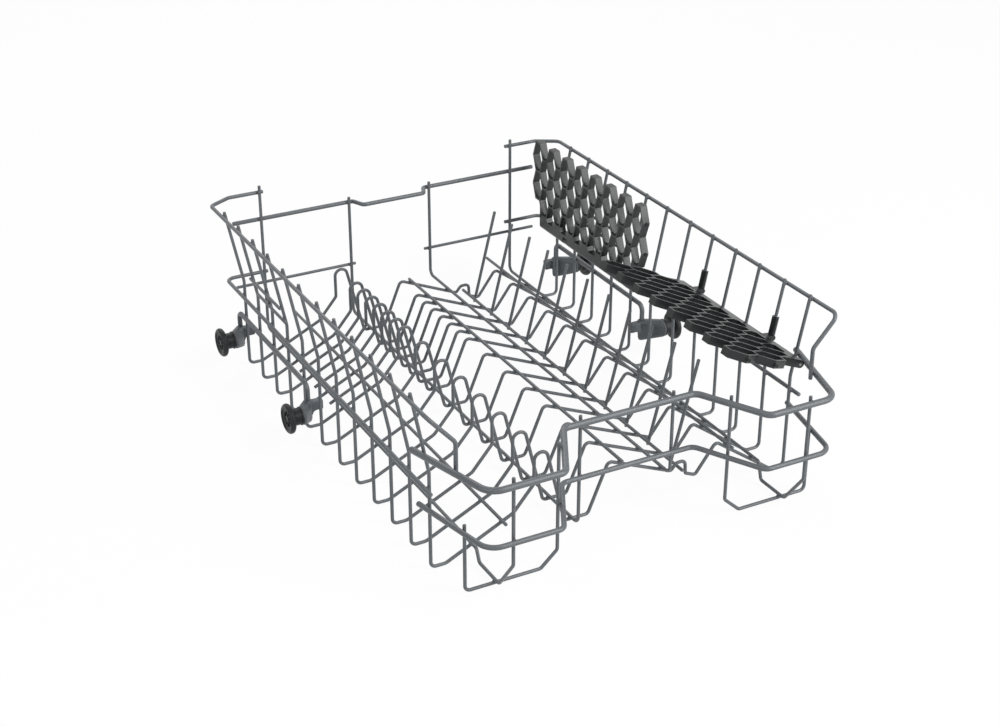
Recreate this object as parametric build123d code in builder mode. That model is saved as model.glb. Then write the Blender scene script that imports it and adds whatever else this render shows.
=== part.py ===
from build123d import *
import math
import os

# Upper basket of a slimline dishwasher: bent and welded coated wires, four rollers on its sides,
# two hinged cup shelves on the right wall and one row of fold-down plate tines.
# Millimetres. X runs to the right, Y to the back, Z up. The origin is under the middle of the
# basket, on the plane that its lowest wires stand on.

# Overall size
basket_length = 496.0
roller_width = 383.0
half_length = basket_length / 2

# Rollers and their brackets, from the outside to the wall
flange_length = 4.0
drum_length = 6.5
wheel_side_gap = 0.5
boss_length = 8.5
wall_inset = 10.5
web_outer_x = roller_width / 2 - flange_length - drum_length - wheel_side_gap - boss_length

# Wire diameters over the coating
wire_d = 2.8
side_rim_d = 3.4
back_rail_d = 3.9
carrier_d = 4.4
upper_front_d = 5.2
lower_front_d = 4.2
weld_gap = 0.05
running_gap = 0.3

# Bend radii, on the middle line of the wire
corner_bend = 4.5
foot_bend = 5.0
peak_bend = 4.0
trough_bend = 4.0
valley_bend = 3.0
rim_bend = 7.0
front_corner_bend = 14.0
recess_bend = 8.0

# Spacing of the cross wires
end_bays = 154.5
wires_per_half = 6
wire_pitch = (basket_length - end_bays) / (2 * wires_per_half - 2)
middle_pitch = 37.2
pattern_y = 16.7

# Heights of the wires' middle lines
bottom_z = wire_d / 2
tip_z = 153.3
rim_below_tip = 4.2
rim_z = tip_z - rim_below_tip
rear_post_z = 156.5
middle_rear_post_z = 129.3
front_post_z = 106.8
back_rail_z = 123.0
rim_drop_z = 124.5
rim_end_z = 97.7
upper_front_z = 102.0
kink_z = 84.3
side_rail_z = 70.6
lower_front_z = 54.6
back_wire_z = 60.1
carrier_z = 50.6
clip_rail_heights = [102.5, 91.3]

# Cross wire, seen from the front
wall_flare = 13.7
left_floor_inset = 12.5
right_floor_inset = 13.1
wall_x = web_outer_x - wall_inset
wall_top_x = wall_x + wall_flare
left_floor_x = wall_x - left_floor_inset
ramp_x = 91.5
ramp_z = 28.7
hoop_x = 73.7
hoop_foot_z = 49.5
hoop_radius = 6.0
hoop_top_z = 75.8
trough_left_x = 46.5
trough_right_x = 25.5
trough_z = 8.9
peak_x = -8.0
peak_z = 51.2
valley_x = 74.0
valley_z = 16.4
right_peak_x = 92.5
right_peak_z = 41.5
right_floor_x = wall_x - right_floor_inset
short_wire_inset = 28.5
short_wire_left_x = short_wire_inset - wall_x
short_wire_right_x = 5.0
short_wire_places = [1, 2, 3]

# Arch of the first and last cross wires over the tine rail
arch_left_x = 50.5
arch_width = 8.4
arch_top_z = 32.4
arch_right_x = 64.5
arch_bend = 4.0

# Lengthwise rails
foot_rail_inset = 33.1
foot_rail_x = wall_x - foot_rail_inset
inner_rail_x = 102.5
floor_rail_x = [-41.5, 41.0]
centre_rail_x = 2.7
tine_rail_x = 59.5
rail_overhang = 3.6
inner_rail_setback = 65.7
inner_rail_front_y = inner_rail_setback - half_length
foot_drop_y = 64.7 - half_length
foot_drop = 4.6
foot_front_y = 28.7 - half_length
foot_rise_z = 33.2
middle_front_post_y = 62.7 - half_length

# Front rims and loops
upper_side_angle = 15.5
lower_side_angle = 11.9
recess_angle = 28.0
rim_side_setback = 84.1
rim_side_end_y = rim_side_setback - half_length
loop_y = 35.4 - half_length
loop_inner_x = 75.5
loop_chamfer = 14.1
loop_chamfer_z = 14.2
loop_outer_z = 59.2

# Side rims, side rails and back wires
rim_front_y = 42.7 - half_length
rim_rear_y = half_length - 13.8
rim_chamfer_x = wall_x - 4.5
return_end_x = foot_rail_x - 4.4
side_rail_setback = 65.7
side_rail_front_y = side_rail_setback - half_length
side_rail_bend = 8.0
back_rail_end_x = wall_x - 6.7
back_recess_x = 31.0
back_recess_side = 5.5
back_recess_depth = 13.0
back_wire_outer_x = wall_x - 6.1
back_wire_inner_x = 36.0
clip_rail_length = [70.0, 68.0]
clip_rail_setback = [112.8, 120.3]
clip_rail_y = [half_length - setback for setback in clip_rail_setback]

# Roller carriers and rollers
bracket_wire_numbers = [1, 6]
carrier_leg_offset = [8.65, 19.4]
carrier_foot_z = 16.0
carrier_bend = 6.0
sleeve_top_z = 38.9
sleeve_bottom_z = 13.2
sleeve_wall = 1.8
collar_height = 6.0
collar_flare = 2.0
web_thickness = 3.6
web_top_height = 7.0
web_tip_radius = 2.5
boss_radius = 7.0
boss_taper = 8.0
bracket_arm_x = wall_x - wire_d / 2 - 0.1
bracket_arm = 2.6
bracket_reach = 22.5
bracket_arm_height = 8.0
bracket_tab_width = 7.0
bracket_tab_height = 15.0
bracket_edge = 1.0
wheel_offset_y = 15.5
wheel_z = 32.0
axle_radius = 2.5
axle_clearance = 0.05
axle_length = 6.6
snap_radius = 2.9
snap_length = 2.0
snap_taper = 20.0
snap_room = 0.3
drum_radius = 7.2
flange_radius = 13.0
flange_web = 2.4
rim_wall = 2.2
hub_radius = 4.0
spoke_count = 8
spoke_width = 1.2
spoke_height = 0.8
spoke_overlap = 0.3

# Plate tines
tine_foot = 4.0
tine_length = 87.5
tine_lean = 14.0

# Cup shelves
shelf_wall_gap = 8.0
shelf_thickness = 6.8
shelf_bar_edge = 7.0
shelf_bar_length = 171.0
shelf_end_wall = 1.8
column_pitch = 12.9
inner_columns = 8
cell_height = 28.8
cell_flat = 7.5
cell_wall = 1.8
shelf_reach = 83.0
peg_radius = 1.5
peg_length = 2.5
rod_radius = 1.5
clip_bore_clearance = 0.05
shelf_bore_clearance = 0.08
clip_width = 7.0
clip_side_gap = 0.5
clip_ring_wall = 1.7
clip_grip_wall = 1.5
clip_arm_radius = 2.2
clip_mouth = 2.2
clip_drop = 3.0
clip_rail_room = 0.4

# Where the shelves are, and which cross wires carry their clips
rear_shelf_offset = 15.02
rear_pin_z = 71.6
rear_shelf_angle = 90.0
rear_wire_numbers = [2, 5]
rear_clip_grip = 16.0
front_shelf_offset = -17.1
front_pin_z = 103.5
front_shelf_angle = 22.5
front_wire_numbers = [8, 11]
front_clip_grip = 21.0

rear_post_y = half_length - back_rail_d - weld_gap - wire_d / 2
front_post_y = -half_length + upper_front_d + weld_gap + wire_d / 2
wall_lean = math.degrees(math.atan2(wall_top_x - wall_x, tip_z - kink_z))
cross_wire_y = sorted(
    (
        pattern_y + side * (middle_pitch / 2 + wire_pitch * i)
        for side in (1, -1)
        for i in range(wires_per_half)
    ),
    reverse=True,
)
between_wires_y = [(a + b) / 2 for a, b in zip(cross_wire_y, cross_wire_y[1:])]
carrier_leg_y = [
    cross_wire_y[number - 1] + offset for number, offset in zip(bracket_wire_numbers, carrier_leg_offset)
]

os.makedirs("parts", exist_ok=True)


def save(part, name):
    """Label one finished piece and write it."""
    part.label = name
    export_step(part, f"parts/{name}.step")


def beside(first_d, second_d):
    """Distance between the middle lines of two wires that are welded side by side."""
    return (first_d + second_d) / 2 + weld_gap


def bent_wire(diameter, points, radii):
    """A round wire along straight runs, with one bend radius for each inner point."""
    with BuildPart() as wire:
        with BuildLine() as path:
            FilletPolyline(*points, radius=radii)
        with BuildSketch(Plane(origin=path.line @ 0, z_dir=path.line % 0)):
            Circle(radius=diameter / 2)
        sweep(path=path.line, transition=Transition.RIGHT)
    return wire.part


def straight_wire(diameter, start, end):
    """A round wire between two points."""
    run = Vector(end) - Vector(start)
    with BuildPart() as wire:
        with BuildSketch(Plane(origin=start, z_dir=run.normalized())):
            Circle(radius=diameter / 2)
        extrude(amount=run.length)
    return wire.part


# Cross wires: both walls and the shaped floor in one bent wire
hoop_centre_x = hoop_radius - hoop_x
hoop_run = -trough_left_x - hoop_centre_x
hoop_rise = hoop_top_z - hoop_radius - trough_z
hoop_lean = math.atan2(hoop_run, hoop_rise) - math.asin(hoop_radius / math.hypot(hoop_run, hoop_rise))
hoop_apex_z = trough_z + (hoop_x - trough_left_x) / math.tan(hoop_lean)
slope = (peak_z - valley_z) / (valley_x - peak_x)
left_slope = (ramp_z - bottom_z) / (left_floor_x - ramp_x)


def on_slope(x):
    """Height of the slope between the middle peak and the valley."""
    return peak_z - slope * (x - peak_x)


def on_left_ramp(x):
    """Height of the ramp that rises from the left wall."""
    return bottom_z + left_slope * (x + left_floor_x)


left_floor = [(-left_floor_x, bottom_z), (-ramp_x, ramp_z), (-hoop_x, hoop_foot_z)]
middle_floor = [
    (-hoop_x, hoop_apex_z),
    (-trough_left_x, trough_z),
    (-trough_right_x, trough_z),
    (peak_x, peak_z),
]
middle_radii = [hoop_radius, trough_bend, trough_bend, peak_bend]
right_floor = [(valley_x, valley_z), (right_peak_x, right_peak_z), (right_floor_x, bottom_z)]
arch = [
    (arch_left_x, on_slope(arch_left_x)),
    (tine_rail_x - arch_width / 2, arch_top_z),
    (tine_rail_x + arch_width / 2, arch_top_z),
    (arch_right_x, on_slope(arch_right_x)),
]
arch_radii = [0, arch_bend, arch_bend, 0]


def on_floor(x, diameter, gap=weld_gap):
    """Height of a lengthwise rail that lies on the cross wires at x."""
    runs = left_floor[:2] + middle_floor[1:] + right_floor
    for start, end in zip(runs, runs[1:]):
        if start[0] <= x < end[0]:
            rise = (end[1] - start[1]) / (end[0] - start[0])
            lift = ((wire_d + diameter) / 2 + gap) * math.hypot(1, rise)
            return start[1] + rise * (x - start[0]) + lift
    raise ValueError(f"no floor run under x = {x}")


def cross_wire(y, with_arch):
    """One wire from the tip of the left wall to the tip of the right wall."""
    wall = [(wall_top_x, tip_z), (wall_x, kink_z), (wall_x, bottom_z)]
    left_wall = [(-x, z) for x, z in wall]
    over_rail = arch if with_arch else []
    profile = left_wall + left_floor + middle_floor + over_rail + right_floor + wall[::-1]
    radii = [0, corner_bend] + [0] * len(left_floor) + middle_radii
    radii += arch_radii if with_arch else []
    radii += [valley_bend, peak_bend, 0] + [corner_bend, 0]
    return bent_wire(wire_d, [(x, y, z) for x, z in profile], radii)


for number, y in enumerate(cross_wire_y, start=1):
    at_an_end = number in (1, len(cross_wire_y))
    save(cross_wire(y, at_an_end), f"cross_wire_{number:02d}")

# Short cross wires between the rear cross wires, on the left half of the floor only
for number, place in enumerate(short_wire_places, start=1):
    y = between_wires_y[place]
    profile = [(short_wire_left_x, on_left_ramp(short_wire_left_x))] + left_floor[1:] + middle_floor
    profile += [(short_wire_right_x, on_slope(short_wire_right_x))]
    points = [(x, y, z) for x, z in profile]
    save(bent_wire(wire_d, points, [0, 0] + middle_radii), f"short_cross_wire_{number}")

# Lengthwise rails that lie on the cross wires
rail_rear_y = cross_wire_y[0] + rail_overhang
rail_front_y = cross_wire_y[-1] - rail_overhang
loop_bottom_z = bottom_z
foot_z = loop_bottom_z + beside(wire_d, wire_d)
for side, name in ((-1, "left"), (1, "right")):
    x = side * foot_rail_x
    z = on_floor(x, wire_d)
    points = [
        (x, rear_post_y, rear_post_z),
        (x, rear_post_y, z),
        (x, foot_drop_y, z),
        (x, foot_drop_y - foot_drop, foot_z),
        (x, foot_front_y, foot_z),
        (x, front_post_y, foot_rise_z),
        (x, front_post_y, front_post_z),
    ]
    save(bent_wire(wire_d, points, [foot_bend, 0, 0, 0, 0]), f"foot_rail_{name}")

    x = side * inner_rail_x
    z = on_floor(x, wire_d)
    save(straight_wire(wire_d, (x, rear_post_y, z), (x, inner_rail_front_y, z)), f"inner_rail_{name}")

for x, name in zip(floor_rail_x, ("left", "right")):
    z = on_floor(x, wire_d)
    points = [
        (x, rear_post_y, middle_rear_post_z),
        (x, rear_post_y, z),
        (x, middle_front_post_y, z),
        (x, middle_front_post_y, front_post_z),
    ]
    save(bent_wire(wire_d, points, [foot_bend, foot_bend]), f"floor_rail_{name}")

z = on_floor(centre_rail_x, wire_d)
start = (centre_rail_x, rail_rear_y, z)
save(straight_wire(wire_d, start, (centre_rail_x, rail_front_y, z)), "centre_rail")


def wall_at(z):
    """Distance of the wall wires from the middle at a height."""
    return wall_x + max(0, z - kink_z) * math.tan(math.radians(wall_lean))


def outside_wall(z, diameter):
    """Distance of a lengthwise wire that is welded to the outside of the wall."""
    lean = wall_lean if z > kink_z else 0
    return wall_at(z) + beside(wire_d, diameter) / math.cos(math.radians(lean))


def front_rim_side_x(y, z, diameter, angle):
    """Distance of a front rim's slanting side from the middle."""
    slant = math.radians(angle)
    touch_x = wall_at(z) + beside(wire_d, diameter) / math.cos(slant)
    return touch_x - (cross_wire_y[-1] - y) * math.tan(slant)


def recess_side_x(y, diameter):
    """Distance of the side of the front recess, which passes inside the loop's inner post."""
    slant = math.radians(recess_angle)
    return loop_inner_x - beside(wire_d, diameter) / math.cos(slant) - (y - loop_y) * math.tan(slant)


def front_rim(z, diameter, angle):
    """A heavy front wire: both sides, the front and the recess in its middle."""
    front_y = front_post_y - beside(wire_d, diameter)
    recess_y = middle_front_post_y - beside(wire_d, diameter)
    right_half = [
        (recess_side_x(recess_y, diameter), recess_y, z),
        (recess_side_x(front_y, diameter), front_y, z),
        (front_rim_side_x(front_y, z, diameter, angle), front_y, z),
        (front_rim_side_x(rim_side_end_y, z, diameter, angle), rim_side_end_y, z),
    ]
    left_half = [(-x, y, z) for x, y, z in right_half[::-1]]
    radii = [front_corner_bend, recess_bend, recess_bend]
    return bent_wire(diameter, left_half + right_half, radii + radii[::-1])


save(front_rim(upper_front_z, upper_front_d, upper_side_angle), "front_rim_upper")
save(front_rim(lower_front_z, lower_front_d, lower_side_angle), "front_rim_lower")

# Side rims, side rails, front foot loops and rear wires, one of each on both sides
rim_y = rear_post_y + beside(wire_d, side_rim_d)
rim_x = outside_wall(rim_z, side_rim_d)
upper_slant = math.cos(math.radians(upper_side_angle))
lower_slant = math.cos(math.radians(lower_side_angle))
upper_side_x = front_rim_side_x(rim_front_y, upper_front_z, upper_front_d, upper_side_angle)
rim_foot_x = upper_side_x - beside(upper_front_d, side_rim_d) / upper_slant
lower_side_x = front_rim_side_x(loop_y, lower_front_z, lower_front_d, lower_side_angle)
loop_outer_x = lower_side_x - beside(lower_front_d, wire_d) / lower_slant
for side, name in ((-1, "left"), (1, "right")):
    points = [
        (side * return_end_x, rim_y, rim_z),
        (side * rim_chamfer_x, rim_y, rim_z),
        (side * rim_x, rim_rear_y, rim_z),
        (side * rim_x, rim_front_y, rim_z),
        (side * rim_foot_x, rim_front_y, rim_drop_z),
        (side * rim_foot_x, rim_front_y, rim_end_z),
    ]
    save(bent_wire(side_rim_d, points, [rim_bend, rim_bend, rim_bend, 0]), f"side_rim_{name}")

    x = side * outside_wall(side_rail_z, side_rim_d)
    points = [
        (x, side_rail_front_y, side_rail_z),
        (x, rim_y, side_rail_z),
        (side * return_end_x, rim_y, side_rail_z),
    ]
    save(bent_wire(side_rim_d, points, [side_rail_bend]), f"side_rail_{name}")

    points = [
        (side * loop_outer_x, loop_y, loop_outer_z),
        (side * loop_outer_x, loop_y, loop_bottom_z),
        (side * (loop_inner_x + loop_chamfer), loop_y, loop_bottom_z),
        (side * loop_inner_x, loop_y, loop_chamfer_z),
        (side * loop_inner_x, loop_y, front_post_z),
    ]
    save(bent_wire(wire_d, points, [corner_bend, 0, 0]), f"foot_loop_{name}")

    y = rear_post_y + beside(wire_d, wire_d)
    start = (side * back_wire_outer_x, y, back_wire_z)
    save(straight_wire(wire_d, start, (side * back_wire_inner_x, y, back_wire_z)), f"back_wire_{name}")

    with BuildPart() as clip_rails:
        for y, z, length in zip(clip_rail_y, clip_rail_heights, clip_rail_length):
            x = side * outside_wall(z, wire_d)
            add(straight_wire(wire_d, (x, y + length / 2, z), (x, y - length / 2, z)))
    save(clip_rails.part, f"clip_rails_{name}")

# Back rail, with a shallow recess between the middle posts
back_y = rear_post_y + beside(wire_d, back_rail_d)
right_half = [
    (back_recess_x, back_y - back_recess_depth, back_rail_z),
    (back_recess_x + back_recess_side, back_y, back_rail_z),
    (back_rail_end_x, back_y, back_rail_z),
]
left_half = [(-x, y, z) for x, y, z in right_half[::-1]]
save(bent_wire(back_rail_d, left_half + right_half, [peak_bend] * 4), "back_rail")

# Roller carriers: a heavy wire along each wall, bent down into the roller brackets
carrier_x = wall_x + beside(wire_d, carrier_d)
for side, name in ((-1, "left"), (1, "right")):
    x = side * carrier_x
    points = [
        (x, carrier_leg_y[0], carrier_foot_z),
        (x, carrier_leg_y[0], carrier_z),
        (x, carrier_leg_y[1], carrier_z),
        (x, carrier_leg_y[1], carrier_foot_z),
    ]
    save(bent_wire(carrier_d, points, [carrier_bend, carrier_bend]), f"roller_carrier_{name}")


def roller_bracket(side, leg_y):
    """Moulded bracket: collared sleeve on the carrier's leg, arm round a wall wire, boss and axle."""
    sleeve_radius = carrier_d / 2 + axle_clearance + sleeve_wall
    sleeve_height = sleeve_top_z - sleeve_bottom_z
    wheel_y = leg_y - wheel_offset_y
    arm_rear_y = leg_y + sleeve_radius
    arm_length = bracket_reach + sleeve_radius
    tab_y = arm_rear_y - arm_length + bracket_tab_width / 2
    arm_z = (sleeve_top_z + sleeve_bottom_z) / 2
    boss_x = web_outer_x + boss_length
    with BuildPart() as bracket:
        with BuildSketch(Plane.XY.offset(sleeve_bottom_z)):
            with Locations((side * carrier_x, leg_y)):
                Circle(radius=sleeve_radius)
        extrude(amount=sleeve_height)
        with BuildSketch(Plane.XY.offset(sleeve_top_z - collar_height)):
            with Locations((side * carrier_x, leg_y)):
                Circle(radius=sleeve_radius)
        extrude(amount=collar_height, taper=-math.degrees(math.atan2(collar_flare, collar_height)))
        with BuildSketch(Plane.YZ.offset(side * (web_outer_x - web_thickness))) as web:
            with Locations((wheel_y, wheel_z)):
                Circle(radius=boss_radius)
            with Locations((leg_y, sleeve_top_z)):
                Rectangle(2 * sleeve_radius, web_top_height, align=(Align.CENTER, Align.MAX))
            with Locations((leg_y, sleeve_bottom_z + web_tip_radius)):
                Circle(radius=web_tip_radius)
            make_hull(web.sketch_local.edges())
        extrude(amount=side * web_thickness)
        with BuildSketch(Plane.YZ.offset(side * bracket_arm_x)):
            with Locations((arm_rear_y, arm_z)):
                Rectangle(arm_length, bracket_arm_height, align=(Align.MAX, Align.CENTER))
            with Locations((tab_y, arm_z)):
                RectangleRounded(bracket_tab_width, bracket_tab_height, bracket_edge)
        extrude(amount=-side * bracket_arm)
        with BuildSketch(Plane.YZ.offset(side * (bracket_arm_x - bracket_arm))):
            with Locations((leg_y, arm_z)):
                Rectangle(2 * sleeve_radius, bracket_arm_height)
        extrude(amount=side * (carrier_x - bracket_arm_x + bracket_arm))
        with BuildSketch(Plane.YZ.offset(side * web_outer_x)):
            with Locations((wheel_y, wheel_z)):
                Circle(radius=boss_radius)
        extrude(amount=side * boss_length, taper=boss_taper)
        with BuildSketch(Plane.YZ.offset(side * boss_x)):
            with Locations((wheel_y, wheel_z)):
                Circle(radius=axle_radius)
        extrude(amount=side * axle_length)
        with BuildSketch(Plane.YZ.offset(side * (boss_x + axle_length))):
            with Locations((wheel_y, wheel_z)):
                Circle(radius=snap_radius)
        extrude(amount=side * snap_length, taper=snap_taper)
        with BuildSketch(Plane.XY.offset(sleeve_bottom_z)):
            with Locations((side * carrier_x, leg_y)):
                Circle(radius=carrier_d / 2 + axle_clearance)
        extrude(amount=carrier_z - sleeve_bottom_z, mode=Mode.SUBTRACT)
    return bracket.part


def roller(side, leg_y):
    """Roller that snaps on the stub axle: drum, round-edged flange, dished and spoked outer face."""
    boss_x = web_outer_x + boss_length
    inner_x = boss_x + wheel_side_gap
    flange_x = inner_x + drum_length
    outer_x = flange_x + flange_length
    dish_x = flange_x + flange_web
    round_edge = flange_length / 2
    bore = axle_radius + axle_clearance
    snap_bore = snap_radius + snap_room
    snap_start_x = boss_x + axle_length - snap_room
    snap_end_x = boss_x + axle_length + snap_length + snap_room
    dish_radius = flange_radius - rim_wall
    inner_side = [
        (outer_x, flange_radius - round_edge),
        (outer_x, dish_radius),
        (dish_x, dish_radius),
        (dish_x, hub_radius),
        (outer_x, hub_radius),
        (outer_x, 0),
        (snap_end_x, 0),
        (snap_end_x, snap_bore),
        (snap_start_x, snap_bore),
        (snap_start_x, bore),
        (inner_x, bore),
        (inner_x, drum_radius),
        (flange_x, drum_radius),
        (flange_x, flange_radius - round_edge),
    ]
    axis_start = (0, leg_y - wheel_offset_y, wheel_z)
    spoke_reach = (dish_radius + hub_radius) / 2
    spoke_length = dish_radius - hub_radius + 2 * spoke_overlap
    with BuildPart() as wheel:
        with BuildSketch(Plane(origin=axis_start, x_dir=(side, 0, 0), z_dir=(0, -side, 0))):
            with BuildLine():
                Polyline(*inner_side)
                middle = (flange_x + round_edge, flange_radius)
                ThreePointArc(inner_side[-1], middle, inner_side[0])
            make_face()
        revolve(axis=Axis(axis_start, (1, 0, 0)))
        with BuildSketch(Plane.YZ.offset(side * dish_x)):
            with Locations(axis_start[1:]):
                with PolarLocations(spoke_reach, spoke_count):
                    Rectangle(spoke_length, spoke_width)
        extrude(amount=side * spoke_height)
    return wheel.part


for side, side_name in ((-1, "left"), (1, "right")):
    for leg_y, place in zip(carrier_leg_y, ("rear", "front")):
        save(roller_bracket(side, leg_y), f"roller_bracket_{side_name}_{place}")
        save(roller(side, leg_y), f"roller_{side_name}_{place}")

# Fold-down tine row: a rail that turns under the two arches, with one tine between each two wires
tine_rail_z = on_floor(tine_rail_x, wire_d, running_gap)
start = (tine_rail_x, rail_rear_y, tine_rail_z)
save(straight_wire(wire_d, start, (tine_rail_x, rail_front_y, tine_rail_z)), "tine_rail")

lean = math.radians(tine_lean)
up_tine = Vector(math.sin(lean), 0, math.cos(lean))
across_tine = Vector(math.cos(lean), 0, -math.sin(lean))
with BuildPart() as tines:
    for y in between_wires_y:
        weld = Vector(tine_rail_x, y, tine_rail_z) + across_tine * beside(wire_d, wire_d)
        foot = weld - up_tine * tine_foot
        tip = weld + up_tine * tine_length
        add(straight_wire(wire_d, foot, tip))
save(tines.part, "tines")


def hexagon(grow):
    """Outline of one lattice cell, moved out by a margin, taller along the shelf's depth."""
    slant_run = column_pitch - cell_flat
    half_height = cell_height / 2
    side = math.hypot(slant_run, half_height)
    top = half_height + grow
    flat = cell_flat / 2 + grow * (side - slant_run) / half_height
    wide = cell_flat / 2 + slant_run + grow * side / half_height
    return [(wide, 0), (flat, top), (-flat, top), (-wide, 0), (-flat, -top), (flat, -top)]


def shelf_pin_x(pin_z):
    """Distance of a shelf's rod from the middle, inside the wall."""
    return wall_at(pin_z) - shelf_wall_gap


def cup_shelf(centre_y, pin_z, angle, clip_wire_y):
    """Lattice shelf with a round-edged bar that turns on a rod, notched where the clips hold it."""
    tilt = math.radians(angle)
    pin_x = shelf_pin_x(pin_z)
    normal = (math.sin(tilt), 0, math.cos(tilt))
    face = Plane(origin=(pin_x, centre_y, pin_z), x_dir=(0, 1, 0), z_dir=normal)
    end = Plane(origin=(pin_x, centre_y, pin_z), x_dir=face.y_dir, z_dir=(0, -1, 0))
    bar_radius = shelf_thickness / 2
    half_bar = shelf_bar_length / 2
    inner_u = shelf_reach - cell_height / 2
    half_count = (inner_columns - 1) / 2
    inner_v = [(i - half_count) * 2 * column_pitch for i in range(inner_columns)]
    outer_v = [v + column_pitch for v in inner_v[:-1]]
    cells = [(v, inner_u - row * cell_height) for v in inner_v for row in (0, 1)]
    cells += [(v, inner_u - (row + 0.5) * cell_height) for v in outer_v for row in (0, 1)]
    open_cells = [(v, inner_u - 2 * cell_height) for v in inner_v]
    foot_u = inner_u - 1.5 * cell_height
    peg_v = inner_v[0] - column_pitch + cell_flat / 2 - cell_wall / 2
    notch_width = clip_width + 2 * clip_side_gap
    clearing = shelf_bar_edge - clip_drop
    with BuildPart() as shelf:
        with BuildSketch(face):
            with Locations(*cells):
                Polygon(*hexagon(cell_wall / 2), align=None)
            with Locations((0, foot_u / 2)):
                Rectangle(shelf_bar_length, foot_u + cell_wall)
            with Locations(*cells):
                Polygon(*hexagon(-cell_wall / 2), align=None, mode=Mode.SUBTRACT)
            with BuildSketch(face, mode=Mode.SUBTRACT):
                with Locations(*open_cells):
                    Polygon(*hexagon(-cell_wall / 2), align=None)
                inside = shelf_bar_length - 2 * shelf_end_wall
                with Locations((0, shelf_bar_edge)):
                    Rectangle(inside, foot_u, align=(Align.CENTER, Align.MIN), mode=Mode.INTERSECT)
        extrude(amount=bar_radius, both=True)
        with BuildSketch(end.offset(-half_bar)):
            Circle(radius=bar_radius)
            Rectangle(shelf_bar_edge, shelf_thickness, align=(Align.MIN, Align.CENTER))
        extrude(amount=shelf_bar_length)
        with BuildSketch(end.offset(half_bar)):
            with Locations((-bar_radius, 0)):
                Rectangle(bar_radius, shelf_thickness, align=(Align.MIN, Align.CENTER))
            Circle(radius=bar_radius, mode=Mode.SUBTRACT)
        extrude(amount=-shelf_bar_length, mode=Mode.SUBTRACT)
        with BuildSketch(end.offset(-half_bar)):
            Circle(radius=rod_radius + shelf_bore_clearance)
        extrude(amount=shelf_bar_length, mode=Mode.SUBTRACT)
        with BuildSketch(face):
            with Locations(*[(y - centre_y, 0) for y in clip_wire_y]):
                Rectangle(notch_width, 2 * clearing)
        extrude(amount=shelf_thickness, both=True, mode=Mode.SUBTRACT)
        with BuildSketch(end.offset(-peg_v - cell_wall)):
            with Locations((inner_u, 0), (inner_u - cell_height, 0)):
                Circle(radius=peg_radius)
        extrude(amount=peg_length + cell_wall)
    return shelf.part


def shelf_clip(y, pin_z, grip_length):
    """Clip that snaps on a wall wire from inside and holds the shelf's rod."""
    grip_bottom_z = pin_z - clip_drop
    lean_here = wall_lean if grip_bottom_z > kink_z else 0
    up = Vector(math.sin(math.radians(lean_here)), 0, math.cos(math.radians(lean_here)))
    bore = wire_d / 2 + clip_bore_clearance
    grip_radius = bore + clip_grip_wall
    wire_x = wall_at(pin_z)
    pin_x = shelf_pin_x(pin_z)
    grip = Plane(origin=(wall_at(grip_bottom_z), y, grip_bottom_z), x_dir=(0, 1, 0), z_dir=up)
    side_plane = Plane(origin=(0, y, 0), x_dir=(1, 0, 0), z_dir=(0, -1, 0))
    with BuildPart() as clip:
        with BuildSketch(side_plane) as arm:
            with Locations((pin_x, pin_z)):
                Circle(radius=rod_radius + clip_bore_clearance + clip_ring_wall)
            with Locations((wire_x, pin_z)):
                Circle(radius=clip_arm_radius)
            make_hull(arm.sketch_local.edges())
        extrude(amount=clip_width / 2, both=True)
        with BuildSketch(grip):
            Circle(radius=grip_radius)
        extrude(amount=grip_length)
        with BuildSketch(grip.offset(-grip_radius)):
            Circle(radius=bore)
            with Locations((0, 0)):
                Rectangle(clip_mouth, 2 * grip_radius, align=(Align.CENTER, Align.MAX))
        extrude(amount=grip_length + 2 * grip_radius, mode=Mode.SUBTRACT)
        with BuildSketch(side_plane):
            with Locations((pin_x, pin_z)):
                Circle(radius=rod_radius + clip_bore_clearance)
            with Locations((outside_wall(side_rail_z, side_rim_d), side_rail_z)):
                Circle(radius=side_rim_d / 2 + clip_rail_room)
        extrude(amount=clip_width, both=True, mode=Mode.SUBTRACT)
    return clip.part


# Rear shelf raised against the wall, front shelf lowered over the right channel
rear_shelf = ("rear", rear_shelf_offset, rear_pin_z, rear_shelf_angle, rear_wire_numbers, rear_clip_grip)
front_shelf = (
    "front", front_shelf_offset, front_pin_z, front_shelf_angle, front_wire_numbers, front_clip_grip,
)
for name, offset, pin_z, angle, wire_numbers, grip_length in (rear_shelf, front_shelf):
    clip_wire_y = [cross_wire_y[number - 1] for number in wire_numbers]
    centre_y = sum(clip_wire_y) / len(clip_wire_y) + offset
    save(cup_shelf(centre_y, pin_z, angle, clip_wire_y), f"cup_shelf_{name}")
    half_bar = shelf_bar_length / 2
    rod_ends = [(shelf_pin_x(pin_z), centre_y + side * half_bar, pin_z) for side in (1, -1)]
    save(straight_wire(2 * rod_radius, *rod_ends), f"shelf_rod_{name}")
    with BuildPart() as clips:
        for y in clip_wire_y:
            add(shelf_clip(y, pin_z, grip_length))
    save(clips.part, f"shelf_clips_{name}")
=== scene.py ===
import bmesh
import bpy
import math
from mathutils import Matrix, Vector


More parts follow.
